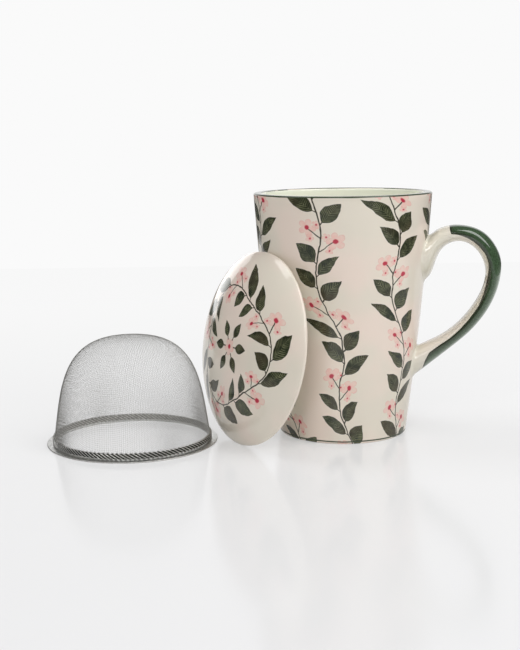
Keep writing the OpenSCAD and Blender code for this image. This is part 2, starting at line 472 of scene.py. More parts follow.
@dataclass(frozen=True)
class Vine:
    """A climbing vine with leaves on alternate sides and a blossom in place of some of them.

    Painted freehand, so every line sways a little, and no two leaves have the same size or angle.
    """

    pitch: float = 12.0
    leaf_length: float = 14.4
    length_shares: tuple[float, float] = (0.8, 1.08)
    leaf_half_width: float = 3.5
    width_shares: tuple[float, float] = (0.82, 1.12)
    leaf_bow: float = 3.2
    leaf_stalk: float = 1.6
    leaf_angle: float = 47.0
    angle_spread: float = 16.0
    stalk_start: float = 1.0
    stalk_overlap: float = 0.4
    stalk_width_share: float = 0.8
    stem_half_width: float = 0.32
    sway: float = 0.45
    sway_mm: float = 6.67
    wave_depth: float = 3.4
    wave_length: float = 60.0
    blossom_stalk: float = 7.2
    blossom_gap: float = 0.6
    blossom_radius: float = 4.35
    bud_radius: float = 2.0
    bud_places: tuple[Point, Point] = ((-4.1, 2.6), (-2.4, -3.9))

    def group(self, leaf: Tree, blossom: Tree) -> Tree:
        """Makes the node group of a vine.

        Args:
            leaf: the group of one leaf.
            blossom: the group of one blossom.

        Returns:
            The group: place along and across the vine in mm, a seed, how many cells the vine has
            before it repeats and how many lie from blossom to blossom, to what PAINTED names.
        """
        tree, given = new_group(
            "painted_vine", ["Along", "Across", "Seed", "Cells", "Blossom every"], PAINTED
        )
        along, across, seed, cells, every = given
        place = add(tree, "TexCoord", out="Object")
        hand = add(tree, "TexNoise", place, per_m(self.sway_mm), 2.0, out="Color")
        hands = add(tree, "SeparateColor", hand).node.outputs
        along, across = (
            add(tree, "Math.ADD", way, add(tree, "MapRange", part, *MOST, -self.sway, self.sway))
            for way, part in zip((along, across), hands)
        )

        # The stem's wave, and on which side of it a place lies and how far off.
        phase = add(tree, "Math.MULTIPLY", along, TURN / self.wave_length)
        swing = add(tree, "Math.SINE", phase)
        middle = add(tree, "Math.MULTIPLY", swing, self.wave_depth)
        aside = add(tree, "Math.SUBTRACT", across, middle)
        left = add(tree, "Math.LESS_THAN", aside, 0.0)
        off = add(tree, "Math.ABSOLUTE", aside)

        # Each cell holds one leaf or blossom on either side, half a cell apart.
        shifted = add(tree, "Math.MULTIPLY_ADD", left, self.pitch / 2, along)
        cell = add(tree, "Math.FLOOR", add(tree, "Math.DIVIDE", shifted, self.pitch))
        in_cell = add(tree, "Math.MULTIPLY_ADD", cell, -self.pitch, shifted)
        cell = add(tree, "Math.FLOORED_MODULO", cell, cells)
        key = add(tree, "CombineXYZ", cell, left, seed)
        chance = add(tree, "TexWhiteNoise", key, out="Color")
        lean, grow, fill = add(tree, "SeparateColor", chance).node.outputs

        # Place along and across the stalk, which leaves the stem at an angle.
        spread = math.radians(self.angle_spread)
        least = math.radians(self.leaf_angle) - spread / 2
        angle = add(tree, "Math.MULTIPLY_ADD", lean, spread, least)
        cos = add(tree, "Math.COSINE", angle)
        sin = add(tree, "Math.SINE", angle)
        up = add(tree, "Math.SUBTRACT", in_cell, self.stalk_start)
        run = add(tree, "Math.MULTIPLY_ADD", off, sin, add(tree, "Math.MULTIPLY", up, cos))
        slip = add(tree, "Math.MULTIPLY", up, sin)
        wide = add(tree, "Math.SUBTRACT", add(tree, "Math.MULTIPLY", off, cos), slip)

        # A leaf bows towards the stem's tip, most at its middle.
        length, half = (
            add(tree, "Math.MULTIPLY_ADD", part, size * (most - least), size * least)
            for part, size, (least, most) in (
                (grow, self.leaf_length, self.length_shares),
                (fill, self.leaf_half_width, self.width_shares),
            )
        )
        on_blade = add(tree, "Math.SUBTRACT", run, self.leaf_stalk)
        share = add(tree, "Math.DIVIDE", on_blade, length, use_clamp=True)
        rest = add(tree, "Math.SUBTRACT", 1.0, share)
        bow = add(tree, "Math.MULTIPLY", share, rest)
        bowed = add(tree, "Math.MULTIPLY_ADD", bow, self.leaf_bow, wide)
        blade = add(tree, "Group", on_blade, bowed, length, half, node_tree=leaf).node.outputs

        # Blossoms take turns with the leaves, on both sides of the stem.
        turn = add(tree, "Math.MULTIPLY_ADD", left, 2.0, cell)
        turn = add(tree, "Math.FLOORED_MODULO", add(tree, "Math.ADD", turn, seed), every)
        flowers = add(tree, "Math.LESS_THAN", turn, 0.5)
        leaves = add(tree, "Math.SUBTRACT", 1.0, flowers)

        # The stem, and the stalk that runs into the leaf or the blossom.
        in_stem = add(tree, "Math.SUBTRACT", self.stem_half_width, off)
        main = add(tree, "MapRange.SMOOTHSTEP", in_stem, -SOFT, SOFT)
        half_stalk = self.stem_half_width * self.stalk_width_share
        thin = add(tree, "Math.SUBTRACT", half_stalk, add(tree, "Math.ABSOLUTE", wide))
        stalk = add(tree, "MapRange.SMOOTHSTEP", thin, -SOFT, SOFT)
        longer = self.blossom_stalk - self.leaf_stalk
        shortest = self.leaf_stalk + self.stalk_overlap
        reach = add(tree, "Math.MULTIPLY_ADD", flowers, longer, shortest)
        stalk = add(tree, "Math.MULTIPLY", stalk, add(tree, "Math.LESS_THAN", run, reach))
        stalk = add(tree, "Math.MULTIPLY", stalk, add(tree, "Math.GREATER_THAN", run, 0.0))
        stem = add(tree, "Math.MAXIMUM", main, stalk)

        # The blossom at the stalk's end, and a bud on either side of it.
        end = self.blossom_stalk + self.blossom_gap
        spots = [(end, 0.0, self.blossom_radius)]
        spots += [(end + x, y, self.bud_radius) for x, y in self.bud_places]
        found = []
        for spot_x, spot_y, radius in spots:
            x = add(tree, "Math.SUBTRACT", run, spot_x)
            y = add(tree, "Math.SUBTRACT", wide, spot_y)
            petal, edge, eye = add(tree, "Group", x, y, radius, node_tree=blossom).node.outputs
            found.append((petal, add(tree, "Math.MULTIPLY", petal, edge), eye))
        petals, edges, eyes = (
            reduce(lambda one, two: add(tree, "Math.MAXIMUM", one, two), masks)
            for masks in zip(*found)
        )
        add(
            tree, "NodeGroupOutput",
            add(tree, "Math.MULTIPLY", blade["Mask"], leaves), blade["Tone"], stem,
            add(tree, "Math.MULTIPLY", petals, flowers), edges,
            add(tree, "Math.MULTIPLY", eyes, flowers),
        )
        return tree


@dataclass(frozen=True)
class Rosette:
    """Leaves that point outwards all round one blossom."""

    leaves: int = 6
    start: float = 5.4
    leaf_length: float = 8.6
    leaf_half_width: float = 2.5
    stem_half_width: float = 0.3
    stem_overlap: float = 0.5
    blossom_radius: float = 4.4
    petal_share: float = 0.8

    def group(self, leaf: Tree, blossom: Tree) -> Tree:
        """Makes the node group of a rosette.

        Args:
            leaf: the group of one leaf.
            blossom: the group of one blossom.

        Returns:
            The group: place from the middle in mm, to what PAINTED names.
        """
        tree, (x, y) = new_group("painted_rosette", ["X", "Y"], PAINTED)
        far = add(tree, "VectorMath.LENGTH", add(tree, "CombineXYZ", x, y))
        sector = TURN / self.leaves
        angle = add(tree, "Math.ARCTAN2", y, x)
        angle = add(tree, "Math.FLOORED_MODULO", angle, sector)
        angle = add(tree, "Math.SUBTRACT", angle, sector / 2)
        cos = add(tree, "Math.COSINE", angle)
        sin = add(tree, "Math.SINE", angle)
        along = add(tree, "Math.MULTIPLY_ADD", far, cos, -self.start)
        across = add(tree, "Math.MULTIPLY", far, sin)
        sizes = (self.leaf_length, self.leaf_half_width)
        blade = add(tree, "Group", along, across, *sizes, node_tree=leaf).node.outputs

        thin = add(tree, "Math.SUBTRACT", self.stem_half_width, add(tree, "Math.ABSOLUTE", across))
        stem = add(tree, "MapRange.SMOOTHSTEP", thin, -SOFT, SOFT)
        petals_end = self.petal_share * self.blossom_radius
        stem = add(tree, "Math.MULTIPLY", stem, add(tree, "Math.GREATER_THAN", far, petals_end))
        stem_end = self.start + self.stem_overlap
        stem = add(tree, "Math.MULTIPLY", stem, add(tree, "Math.LESS_THAN", far, stem_end))
        flower = add(tree, "Group", x, y, self.blossom_radius, node_tree=blossom).node.outputs
        add(tree, "NodeGroupOutput", *blade, stem, *flower)
        return tree


@dataclass(frozen=True)
class Brushwork:
    """Underglaze colours, painted by hand on the biscuit: dark green, umber, pink and red.

    Thin colour lets the clay through, so each stroke is uneven and never quite black.
    """

    leaf_dark: str = "1C2614"
    leaf_pale: str = "7E8060"
    leaf_brown: str = "4A4030"
    stem: str = "3A372B"
    petal: str = "EDC1B6"
    petal_edge: str = "DB8A83"
    eye_rim: str = "DE7C82"
    eye: str = "B93447"
    eye_core: float = 0.45
    wash_mm: float = 2.38
    wash_range: tuple[float, float] = (0.35, 0.65)
    leaf_unevenness: float = 0.8
    edge_cover: tuple[float, float] = (0.2, 1.0)
    petal_cover: tuple[float, float] = (0.95, 0.45)
    brown_mm: float = 16.7
    brown_range: tuple[float, float] = (0.45, 0.65)
    brown_share: float = 0.55

    def paint(self, tree: Tree, ground: Socket, place: Socket, masks: dict[str, Socket]) -> Socket:
        """Paints the masks over a ground.

        Args:
            tree: the material's node tree.
            ground: the colour of the bare glaze.
            place: the object's own coordinates in metres.
            masks: the masks and tones that PAINTED names.

        Returns:
            The painted colour.
        """
        wash = add(tree, "TexNoise", place, per_m(self.wash_mm), 3.0)
        depth = self.leaf_unevenness
        uneven = add(tree, "Math.MULTIPLY_ADD", wash, depth, -depth / 2)
        tone = add(tree, "Math.ADD", masks["Tone"], uneven, use_clamp=True)
        green = add(tree, "Mix.RGBA", tone, linear(self.leaf_dark), linear(self.leaf_pale))
        pots = add(tree, "TexNoise", place, per_m(self.brown_mm), 1.0)
        brown = add(tree, "MapRange", pots, *self.brown_range, 0.0, self.brown_share)
        green = add(tree, "Mix.RGBA", brown, green, linear(self.leaf_brown))

        thin = add(tree, "MapRange", wash, MOST[0], self.wash_range[1], *self.edge_cover)
        edge = add(tree, "Math.MULTIPLY", masks["Edge"], thin)
        petal = add(tree, "Mix.RGBA", edge, linear(self.petal), linear(self.petal_edge))
        wet = add(tree, "MapRange", wash, *self.wash_range, *self.petal_cover)
        petal_cover = add(tree, "Math.MULTIPLY", masks["Petals"], wet)
        core = add(tree, "MapRange", masks["Eye"], self.eye_core, 1.0)
        eye = add(tree, "Mix.RGBA", core, linear(self.eye_rim), linear(self.eye))
        colour = ground
        layers = (
            (petal_cover, petal),
            (masks["Stem"], linear(self.stem)),
            (masks["Leaf"], green),
            (masks["Eye"], eye),
        )
        for cover, paint in layers:
            colour = add(tree, "Mix.RGBA", cover, colour, paint)
        return colour


# ---- finishes ----


@dataclass(frozen=True)
class ClearGlaze:
    """Clear feldspathic glaze, fired glossy over slip-cast cream stoneware.

    It gives a soft pinkish cream that drifts to a greenish one where the glaze lies thicker, under
    a hard shine with the slight ripple of a melted surface.
    """

    pink_cream: str = "EDDDD0"
    green_cream: str = "E5DDCE"
    roughness: float = 0.09
    ior: float = 1.5
    drift_mm: float = 34.0
    drift_range: tuple[float, float] = (0.38, 0.62)
    cloud_mm: float = 22.2
    cloud_range: tuple[float, float] = (0.35, 0.65)
    cloud_share: float = 0.2
    ripple_mm: float = 9.0
    ripple_depth: float = 0.05
    ripple_strength: float = 0.25

    def ground(self, tree: Tree, place: Socket) -> Socket:
        """Gives the bare glaze its drifting colour.

        Args:
            tree: the material's node tree.
            place: the object's own coordinates in metres.

        Returns:
            The colour.
        """
        drift = add(tree, "TexNoise", place, per_m(self.drift_mm), 2.0)
        share = add(tree, "MapRange.SMOOTHSTEP", drift, *self.drift_range)
        return add(tree, "Mix.RGBA", share, linear(self.pink_cream), linear(self.green_cream))

    def shine(self, tree: Tree, place: Socket, colour: Socket | Colour) -> None:
        """Ends the material with the glaze's gloss and ripple over a colour.

        Args:
            tree: the material's node tree.
            place: the object's own coordinates in metres.
            colour: what shows through the glaze.
        """
        ripple = add(tree, "TexNoise", place, per_m(self.ripple_mm), 1.0)
        bump = {
            "Strength": self.ripple_strength,
            "Distance": self.ripple_depth * MM,
            "Height": ripple,
        }
        gloss = {"Roughness": self.roughness, "IOR": self.ior}
        close(tree, {"Base Color": colour, "Normal": add(tree, "Bump", bump), **gloss})

    def plain(self, name: str, hex_colour: str) -> Material:
        """Lays the glaze over one body colour, faintly clouded.

        Args:
            name: the material's name.
            hex_colour: the body's colour.

        Returns:
            The material.
        """
        material, tree, place = new_material(name)
        cloud = add(tree, "TexNoise", place, per_m(self.cloud_mm), 3.0)
        share = add(tree, "MapRange", cloud, *self.cloud_range, 0.0, self.cloud_share)
        colour = add(tree, "Mix.RGBA", share, linear(hex_colour), linear(self.green_cream))
        self.shine(tree, place, colour)
        return material


@dataclass(frozen=True)
class PaintedMugWall:
    """The mug's outside: climbing vines painted under the glaze, a green line on the lip and foot.

    The lip's line is brushed on its outer corner and thins out over the crest. The brush wavers by
    a few tenths of a millimetre round the lip and the foot.
    """

    glaze: ClearGlaze = ClearGlaze()
    brush: Brushwork = Brushwork()
    vines: int = 7
    vine_drop: float = 5.3
    lean: float = 0.16
    mean_radius: float = 38.0
    # More cells than the wall is high, so that a vine never repeats.
    cells: float = 1000.0
    blossom_every: float = 3.0
    lip_line: float = 119.3
    crest_line: float = 119.72
    crest_r: tuple[float, float] = (41.2, 42.2)
    foot_line: tuple[float, float] = (0.9, 1.6)
    waver: float = 0.5
    waver_mm: float = 16.7
    line_colour: str = "3F4936"

    def material(self, vine: Tree) -> Material:
        """Makes the wall's material.

        Args:
            vine: the vine group.

        Returns:
            The material.
        """
        material, tree, place = new_material("glazed_stoneware_hand_painted")
        x, y, z = add(tree, "SeparateXYZ", place).node.outputs
        height = add(tree, "Math.MULTIPLY", z, 1 / MM)
        angle = add(tree, "Math.ARCTAN2", y, x)
        around = add(tree, "Math.MULTIPLY", angle, self.mean_radius)
        leaning = add(tree, "Math.MULTIPLY_ADD", height, self.lean, around)
        gap = TURN * self.mean_radius / self.vines
        lane = add(tree, "Math.FLOOR", add(tree, "Math.DIVIDE", leaning, gap))
        in_lane = add(tree, "Math.MULTIPLY_ADD", lane, -gap, leaning)
        across = add(tree, "Math.SUBTRACT", in_lane, gap / 2)
        lane = add(tree, "Math.FLOORED_MODULO", lane, float(self.vines))
        drop = add(tree, "Math.MULTIPLY_ADD", lane, self.vine_drop, height)
        counts = (self.cells, self.blossom_every)
        painted = add(tree, "Group", drop, across, lane, *counts, node_tree=vine).node.outputs
        colour = self.glaze.ground(tree, place)
        colour = self.brush.paint(tree, colour, place, dict(painted.items()))

        waver = add(tree, "TexNoise", place, per_m(self.waver_mm), 1.0)
        wavered = add(tree, "Math.MULTIPLY_ADD", waver, self.waver, height)
        far = add(tree, "VectorMath.LENGTH", add(tree, "CombineXYZ", x, y))
        crest = [edge * MM for edge in self.crest_r]
        start = add(tree, "MapRange", far, *crest, self.crest_line, self.lip_line)
        above = add(tree, "Math.SUBTRACT", wavered, start)
        mean = self.waver / 2
        lip = add(tree, "MapRange", above, mean - SOFT, mean + SOFT)
        low, high = (edge + mean for edge in self.foot_line)
        over = add(tree, "MapRange", wavered, low - SOFT, low + SOFT)
        under = add(tree, "MapRange", wavered, high + SOFT, high - SOFT)
        foot = add(tree, "Math.MULTIPLY", over, under)
        lines = add(tree, "Math.MAXIMUM", lip, foot)
        colour = add(tree, "Mix.RGBA", lines, colour, linear(self.line_colour))
        self.glaze.shine(tree, place, colour)
        return material


@dataclass(frozen=True)
class PaintedLidDome:
    """The lid's outside: the same vine laid round it as a wreath, with a rosette in the middle."""

    glaze: ClearGlaze = ClearGlaze()
    brush: Brushwork = Brushwork()
    wreath_r: float = 28.0
    cells: int = 15
    seed: float = 3.0
    blossom_every: float = 3.0

    def material(self, vine: Tree, rosette: Tree, pitch: float, upright: Matrix) -> Material:
        """Makes the dome's material, painted in the lid's upright frame.

        Args:
            vine: the vine group.
            rosette: the rosette group.
            pitch: the length of one of the vine's cells in mm.
            upright: where the lid's upright frame lies.

        Returns:
            The material.
        """
        material, tree, lying = new_material("glazed_stoneware_wreath")
        frame_of_lid = (upright.to_translation(), upright.to_euler())
        place = add(tree, "Mapping", lying, *frame_of_lid, vector_type="TEXTURE")
        scaled = add(tree, "VectorMath.SCALE", place, 1 / MM)
        x, y = add(tree, "SeparateXYZ", scaled).node.outputs[:2]
        far = add(tree, "VectorMath.LENGTH", add(tree, "CombineXYZ", x, y))
        across = add(tree, "Math.SUBTRACT", far, self.wreath_r)
        turn = add(tree, "Math.ADD", add(tree, "Math.ARCTAN2", y, x), math.pi)
        along = add(tree, "Math.MULTIPLY", turn, self.cells * pitch / TURN)
        counts = (self.seed, float(self.cells), self.blossom_every)
        wreath = add(tree, "Group", along, across, *counts, node_tree=vine).node.outputs
        middle = add(tree, "Group", x, y, node_tree=rosette).node.outputs
        inner = add(tree, "Math.LESS_THAN", far, self.wreath_r / 2)
        masks = {name: add(tree, "Mix", inner, wreath[name], middle[name]) for name in PAINTED}
        colour = self.brush.paint(tree, self.glaze.ground(tree, place), place, masks)
        self.glaze.shine(tree, place, colour)
        return material


@dataclass(frozen=True)
class BiscuitClay:
    """Unglazed stoneware, wiped before firing: a dry, sandy ring with fine grit."""

    colour: str = "D9CBB4"
    grit: str = "B9A98F"
    grit_mm: float = 0.5
    grit_range: tuple[float, float] = (0.5, 0.7)
    grit_depth: float = 0.05
    roughness: float = 0.85
    ior: float = 1.5

    def material(self) -> Material:
        """Makes the clay's material.

        Returns:
            The material.
        """
        material, tree, place = new_material("stoneware_biscuit_sanded")
        grain = add(tree, "TexNoise", place, per_m(self.grit_mm), 3.0)
        share = add(tree, "MapRange", grain, *self.grit_range)
        colour = add(tree, "Mix.RGBA", share, linear(self.colour), linear(self.grit))
        bump = {"Strength": 0.5, "Distance": self.grit_depth * MM, "Height": grain}
        gloss = {"Roughness": self.roughness, "IOR": self.ior}
        close(tree, {"Base Color": colour, "Normal": add(tree, "Bump", bump), **gloss})
        return material


@dataclass(frozen=True)
class BrushedGreenGlaze:
    """Copper-green colour brushed along the strap under the clear glaze.

    The brush leaves the cream bare on the inner edge and by the wall, and streaks the green. The
    colour pools into a darker, brownish line along its own edge. On the strap's lower back the green
    is painted paler: partly thinner green, partly painted reflection of the white table there.
    """

    glaze: ClearGlaze = ClearGlaze("E6DFD2", "E2DDCC", roughness=0.08, ior=1.7)
    green: str = "2F4229"
    pale_green: str = "4A6246"
    pooled: str = "262B1B"
    # Paler green of the lower back: thinner green, and painted reflection of the table.
    thin: str = "93A48F"
    ragged: float = 0.8
    ragged_mm: float = 8.33
    edge: tuple[float, float] = (0.25, 0.6)
    pool_end: float = 3.0
    pool_share: float = 0.9
    streak_mm: float = 0.8
    streak_range: tuple[float, float] = (0.3, 0.75)
    streak_share: float = 0.9

    def material(self, cover: str, painted_sheen: str) -> Material:
        """Makes the strap's material.

        Args:
            cover: the mesh attribute that is above 0 where the green lies, in mm from its edge.
            painted_sheen: the mesh attribute for how much paler the green is painted, from 0 to 1:
                partly thinner green, partly painted reflection of the white table.

        Returns:
            The material.
        """
        material, tree, place = new_material("glazed_stoneware_green_brushed")
        depth = add(tree, "Attribute", out="Fac", attribute_name=cover)
        waver = add(tree, "TexNoise", place, per_m(self.ragged_mm), 1.0)
        ragged = add(tree, "Math.MULTIPLY_ADD", waver, self.ragged, depth)
        mask = add(tree, "MapRange.SMOOTHSTEP", ragged, *self.edge)
        streaks = add(tree, "TexNoise", place, per_m(self.streak_mm), 2.0)
        tone = add(tree, "MapRange", streaks, *self.streak_range, 0.0, self.streak_share)
        pool = add(
            tree, "MapRange.SMOOTHSTEP", ragged, self.edge[1], self.pool_end, self.pool_share, 0.0
        )
        green = add(tree, "Mix.RGBA", tone, linear(self.green), linear(self.pale_green))
        # Painted sheen: the green is paled on the lower back as a painted reflection of the table.
        painted_sheen_level = add(tree, "Attribute", out="Fac", attribute_name=painted_sheen)
        green = add(tree, "Mix.RGBA", painted_sheen_level, green, linear(self.thin))
        green = add(tree, "Mix.RGBA", pool, green, linear(self.pooled))
        colour = add(tree, "Mix.RGBA", mask, self.glaze.ground(tree, place), green)
        self.glaze.shine(tree, place, colour)
        return material


@dataclass(frozen=True)
class Stainless:
    """Stainless steel: a grey metal, brightest where it faces something white.

    Rolled sheet is polished smooth; drawn wire keeps a softer, streaky shine.
    """

    colour: str
    roughness: float
    dull: str = "5E5D5A"
    dull_share: float = 0.25
    scratch_mm: float = 1.2
    roughness_shares: tuple[float, float] = (0.75, 1.3)

    def material(self, name: str) -> Material:
        """Makes the steel's material.

        Args:
            name: the material's name.

        Returns:
            The material.
        """
        material, tree, place = new_material(name)
        cloud = add(tree, "TexNoise", place, per_m(self.scratch_mm), 2.0)
        bounds = [self.roughness * share for share in self.roughness_shares]
        rough = add(tree, "MapRange", cloud, *MOST, *bounds)
        dulled = add(tree, "MapRange", cloud, *MOST, 0.0, self.dull_share)
        colour = add(tree, "Mix.RGBA", dulled, linear(self.colour), linear(self.dull))
        close(tree, {"Base Color": colour, "Metallic": 1.0, "Roughness": rough})
        return material


# ---- the mug ----


@dataclass
class Mug:
    """The slip-cast body: a bowed, tapering wall with a rounded lip, a straight mouth and a foot."""

    height: float = 120.0
    rim_r: float = 43.95
    foot_r: float = 31.8
    bow: float = 0.32
    wall: float = 3.8
    floor: float = 5.5
    fillet: float = 10.0
    mouth: float = 6.5
    ring_w: float = 3.6
    recess: float = 1.6
    round_foot: float = 1.0
    lip_in: float = 1.4
    lip_out: float = 0.9
    wall_steps: int = 60

    def wall_r(self, z: float) -> float:
        """Returns the wall's outer radius at a height."""
        t = z / self.height
        return self.foot_r + (self.rim_r - self.foot_r) * ((1 + self.bow) * t - self.bow * t * t)

    def runs(self) -> list[Run]:
        """Draws the outline from the middle of the foot to the middle of the hollow's floor.

        Returns:
            Its stretches: 0 painted outside, 1 glazed inside and under, 2 wiped foot ring.
        """
        mouth_z = self.height - self.lip_in - self.mouth
        crest_r = self.wall_r(mouth_z) - self.wall + self.lip_in
        lip_z = self.height - self.lip_out
        floor_z = self.recess + self.floor
        foot_r = self.wall_r(self.round_foot) - self.round_foot
        ring_r = foot_r - self.ring_w
        bottom = floor_z + self.fillet
        corner_r = self.wall_r(bottom) - self.wall - self.fillet
        rise = np.linspace(self.round_foot, lip_z, self.wall_steps + 1).tolist()
        fall = np.linspace(mouth_z, bottom, self.wall_steps + 1).tolist()
        underside = [(ring_r * share, self.recess) for share in (0.0, 0.3, 0.6, 0.9)]
        underside += arc(
            (ring_r - self.round_foot, self.recess - self.round_foot),
            self.round_foot, self.round_foot, 90, 0, 6,
        )
        outer, inner = self.lip_out, self.lip_in
        lip = arc((self.wall_r(lip_z) - outer, lip_z), outer, outer, 0, 90, 10)
        inner_lip = arc((crest_r, self.height - inner), inner, inner, 90, 180, 12)
        # The paint ends half way round the inside of the lip.
        painted = len(inner_lip) // 2 + 1
        foot = arc((foot_r, self.round_foot), self.round_foot, self.round_foot, -90, 0, 8)
        return [
            Run(underside, 1),
            Run([(ring_r, 0.0), (foot_r, 0.0)], 2),
            Run(foot, 0),
            Run([(self.wall_r(z), z) for z in rise], 0),
            Run(lip + inner_lip[:painted], 0),
            Run(inner_lip[painted:] + [(self.wall_r(z) - self.wall, z) for z in fall], 1),
            Run(arc((corner_r, bottom), self.fillet, self.fillet, 0, -90, 14), 1),
            Run([(corner_r * share, floor_z) for share in (0.7, 0.4, 0.15, 0.0)], 1),
        ]

    def build(self, vine: Tree) -> Piece:
        """Makes and dresses the mug.

        Args:
            vine: the vine group, for its paint.

        Returns:
            The piece.
        """
        finishes = [
            PaintedMugWall().material(vine),
            ClearGlaze().plain("glazed_stoneware_ivory", "F7F9E9"),
            BiscuitClay().material(),
        ]
        piece = turned("mug_body_glazed", self.runs(), finishes)
        return join(piece, Body.MUG, Slot.CREAM_GLAZE, "mug_body")


@dataclass
class Handle:
    """The pulled strap: an oval section that runs through stations from one luted foot to another."""

    mug: Mug
    strap_w: float = 15.5
    squareness: float = 2.1
    upper_foot_w: float = 24.0
    lower_foot_w: float = 19.0
    luting: float = 1.3
    sunk: float = 1.6
    rings_per_span: int = 14
    corners: int = 96
    # Where the green starts and ends, as places in the list of stations, and how it ends.
    paint_start: float = 3.15
    paint_end: float = 11.65
    paint_slant: float = 0.3
    mm_per_station: float = 7.0
    # How the green is paled on the strap's lower back: painted sheen for the mirrored table.
    sheen_start: float = 6.4
    sheen_fade: float = 0.5
    sheen_depth: float = 0.55
    sheen_back: tuple[float, float] = (0.2, 0.95)
    cover: str = "green_cover"
    painted_sheen: str = "green_painted_sheen"

    def stations(self) -> np.ndarray:
        """Lists the stations that the strap runs through.

        Returns:
            Inner x and z, outer x and z, width and egg shape of each.
        """
        w, up, low = self.strap_w, self.upper_foot_w, self.lower_foot_w
        return np.array([
            (37.0, 75.0, 38.0, 96.0, up, 0.30),
            (43.1, 78.4, 43.3, 98.9, up * 0.96, 0.30),
            (46.2, 87.0, 47.2, 101.9, w + 5.0, 0.20),
            (50.0, 93.2, 51.7, 103.2, w + 2.2, 0.08),
            (57.1, 95.9, 57.6, 103.6, w + 0.6, 0),
            (64.3, 92.9, 68.6, 100.7, w, 0),
            (69.0, 86.0, 76.5, 89.9, w, 0),
            (69.8, 77.6, 77.2, 78.4, w, 0),
            (66.5, 68.1, 73.0, 65.0, w, 0),
            (58.5, 57.0, 64.4, 52.8, w, 0),
            (49.7, 49.8, 55.0, 44.3, w + 0.4, 0),
            (42.5, 46.0, 46.1, 36.9, w + 1.4, -0.06),
            (37.0, 43.3, 36.2, 28.9, low * 0.94, -0.14),
            (31.0, 41.0, 30.6, 25.0, low, -0.16),
        ])

    def control(self, i: int) -> np.ndarray:
        """Finds the control point that makes a cubic B-spline pass through a station.

        Args:
            i: the station's place in the list. A place outside it means its nearest end.

        Returns:
            The control point, in a station's six numbers.
        """
        rows = self.stations()
        last = len(rows) - 1
        if 0 < i < last:
            return rows[i] * 4 / 3 - (rows[i - 1] + rows[i + 1]) / 6
        return rows[min(max(i, 0), last)]

    def station(self, s: float) -> np.ndarray:
        """Finds a station that may lie between two of the list.

        Args:
            s: its place in the list.

        Returns:
            Its six numbers.
        """
        i = min(int(s), len(self.stations()) - 2)
        t = s - i
        a, b, c, d = (self.control(i + k) for k in (-1, 0, 1, 2))
        return (
            a * (1 - t)**3 + b * (3 * t**3 - 6 * t**2 + 4)
            + c * (-3 * t**3 + 3 * t**2 + 3 * t + 1) + d * t**3
        ) / 6

    def bare_share(self, s: float) -> float:
        """Finds how much of the strap's side stays cream.

        Args:
            s: a place in the list of stations.

        Returns:
            The share, from -1, none, to 1, all.
        """
        places = (3, 3.8, 4.6, 5, 5.8, 7, 7.4, 8.2, 9, 10.2, 11.1, 11.4, 11.6)
        shares = (0.3, -0.04, -0.42, -0.47, -0.46, -0.74, -0.72, -0.5, -0.34, -0.22, -0.1, 0.3, 0.9)
        return float(np.interp(s, places, shares))

    def painted_sheen_share(self, s: float, cos: np.ndarray) -> np.ndarray:
        """Finds the painted sheen that pales the green, most on the strap's lower back.

        Args:
            s: a place in the list of stations.
            cos: how far back each point of the section lies, from -1 to 1.

        Returns:
            A share from 0 to 1 for each point.
        """
        start, end = self.sheen_back
        back = np.clip((cos - start) / (end - start), 0, 1)
        lower = np.clip((s - self.sheen_start) / self.sheen_fade, 0, 1)
        return self.sheen_depth * lower * back * back * (3 - 2 * back)

    def skin(self) -> tuple[np.ndarray, np.ndarray, np.ndarray]:
        """Lofts the strap.

        Returns:
            The points, ring by ring, how far each lies inside the green in mm, and how much the
            green is paled there by painted sheen.
        """
        last = len(self.stations()) - 1
        angles = TURN * np.arange(self.corners) / self.corners
        power = 2 / self.squareness
        cos = np.sign(np.cos(angles)) * np.abs(np.cos(angles)) ** power
        sin = np.sign(np.sin(angles)) * np.abs(np.sin(angles)) ** power
        rings, cover, painted_sheen = [], [], []
        for s in np.linspace(0, last, last * self.rings_per_span + 1):
            ix, iz, ox, oz, width, egg = self.station(s)
            thick = math.hypot(ox - ix, oz - iz) / 2
            side = np.stack([
                (ix + ox) / 2 + (ox - ix) / 2 * cos,
                width / 2 * sin * (1 + egg * np.cos(angles)),
                (iz + oz) / 2 + (oz - iz) / 2 * cos,
            ], 1)
            rings.append(side)
            across = (cos - self.bare_share(s)) * thick
            started = s - self.paint_start - self.paint_slant * (1 - cos)
            ends = np.minimum(started, self.paint_end - s) * self.mm_per_station
            cover.append(np.minimum(across, ends))
            painted_sheen.append(self.painted_sheen_share(s, cos))
        return np.array(rings), np.array(cover), np.array(painted_sheen)

    def luted(self, rings: np.ndarray) -> np.ndarray:
        """Flares the skin where it meets the wall, as smoothed clay does, and ends it in the wall.

        Args:
            rings: the loft's points.

        Returns:
            The moved points.
        """
        flat = rings.reshape(-1, 3).copy()
        radius = np.hypot(flat[:, 0], flat[:, 1])
        wall = np.array([self.mug.wall_r(z) for z in flat[:, 2]])
        out = np.stack([flat[:, 0] / radius, flat[:, 1] / radius, np.zeros(len(flat))], 1)
        centres = np.repeat(rings.mean(1), self.corners, axis=0)
        away = flat - centres
        away -= out * np.sum(away * out, 1, keepdims=True)
        away /= np.linalg.norm(away, axis=1, keepdims=True)
        gap = np.clip(radius - wall, 0, self.luting)
        push = self.luting - np.sqrt(self.luting**2 - (self.luting - gap) ** 2)
        near = (radius - wall) < self.luting
        flat[near] += (away * push[:, None])[near]
        radius = np.hypot(flat[:, 0], flat[:, 1])
        wall = np.array([self.mug.wall_r(z) for z in flat[:, 2]]) - self.sunk
        deep = radius < wall
        flat[deep, :2] *= (wall[deep] / radius[deep])[:, None]
        return flat

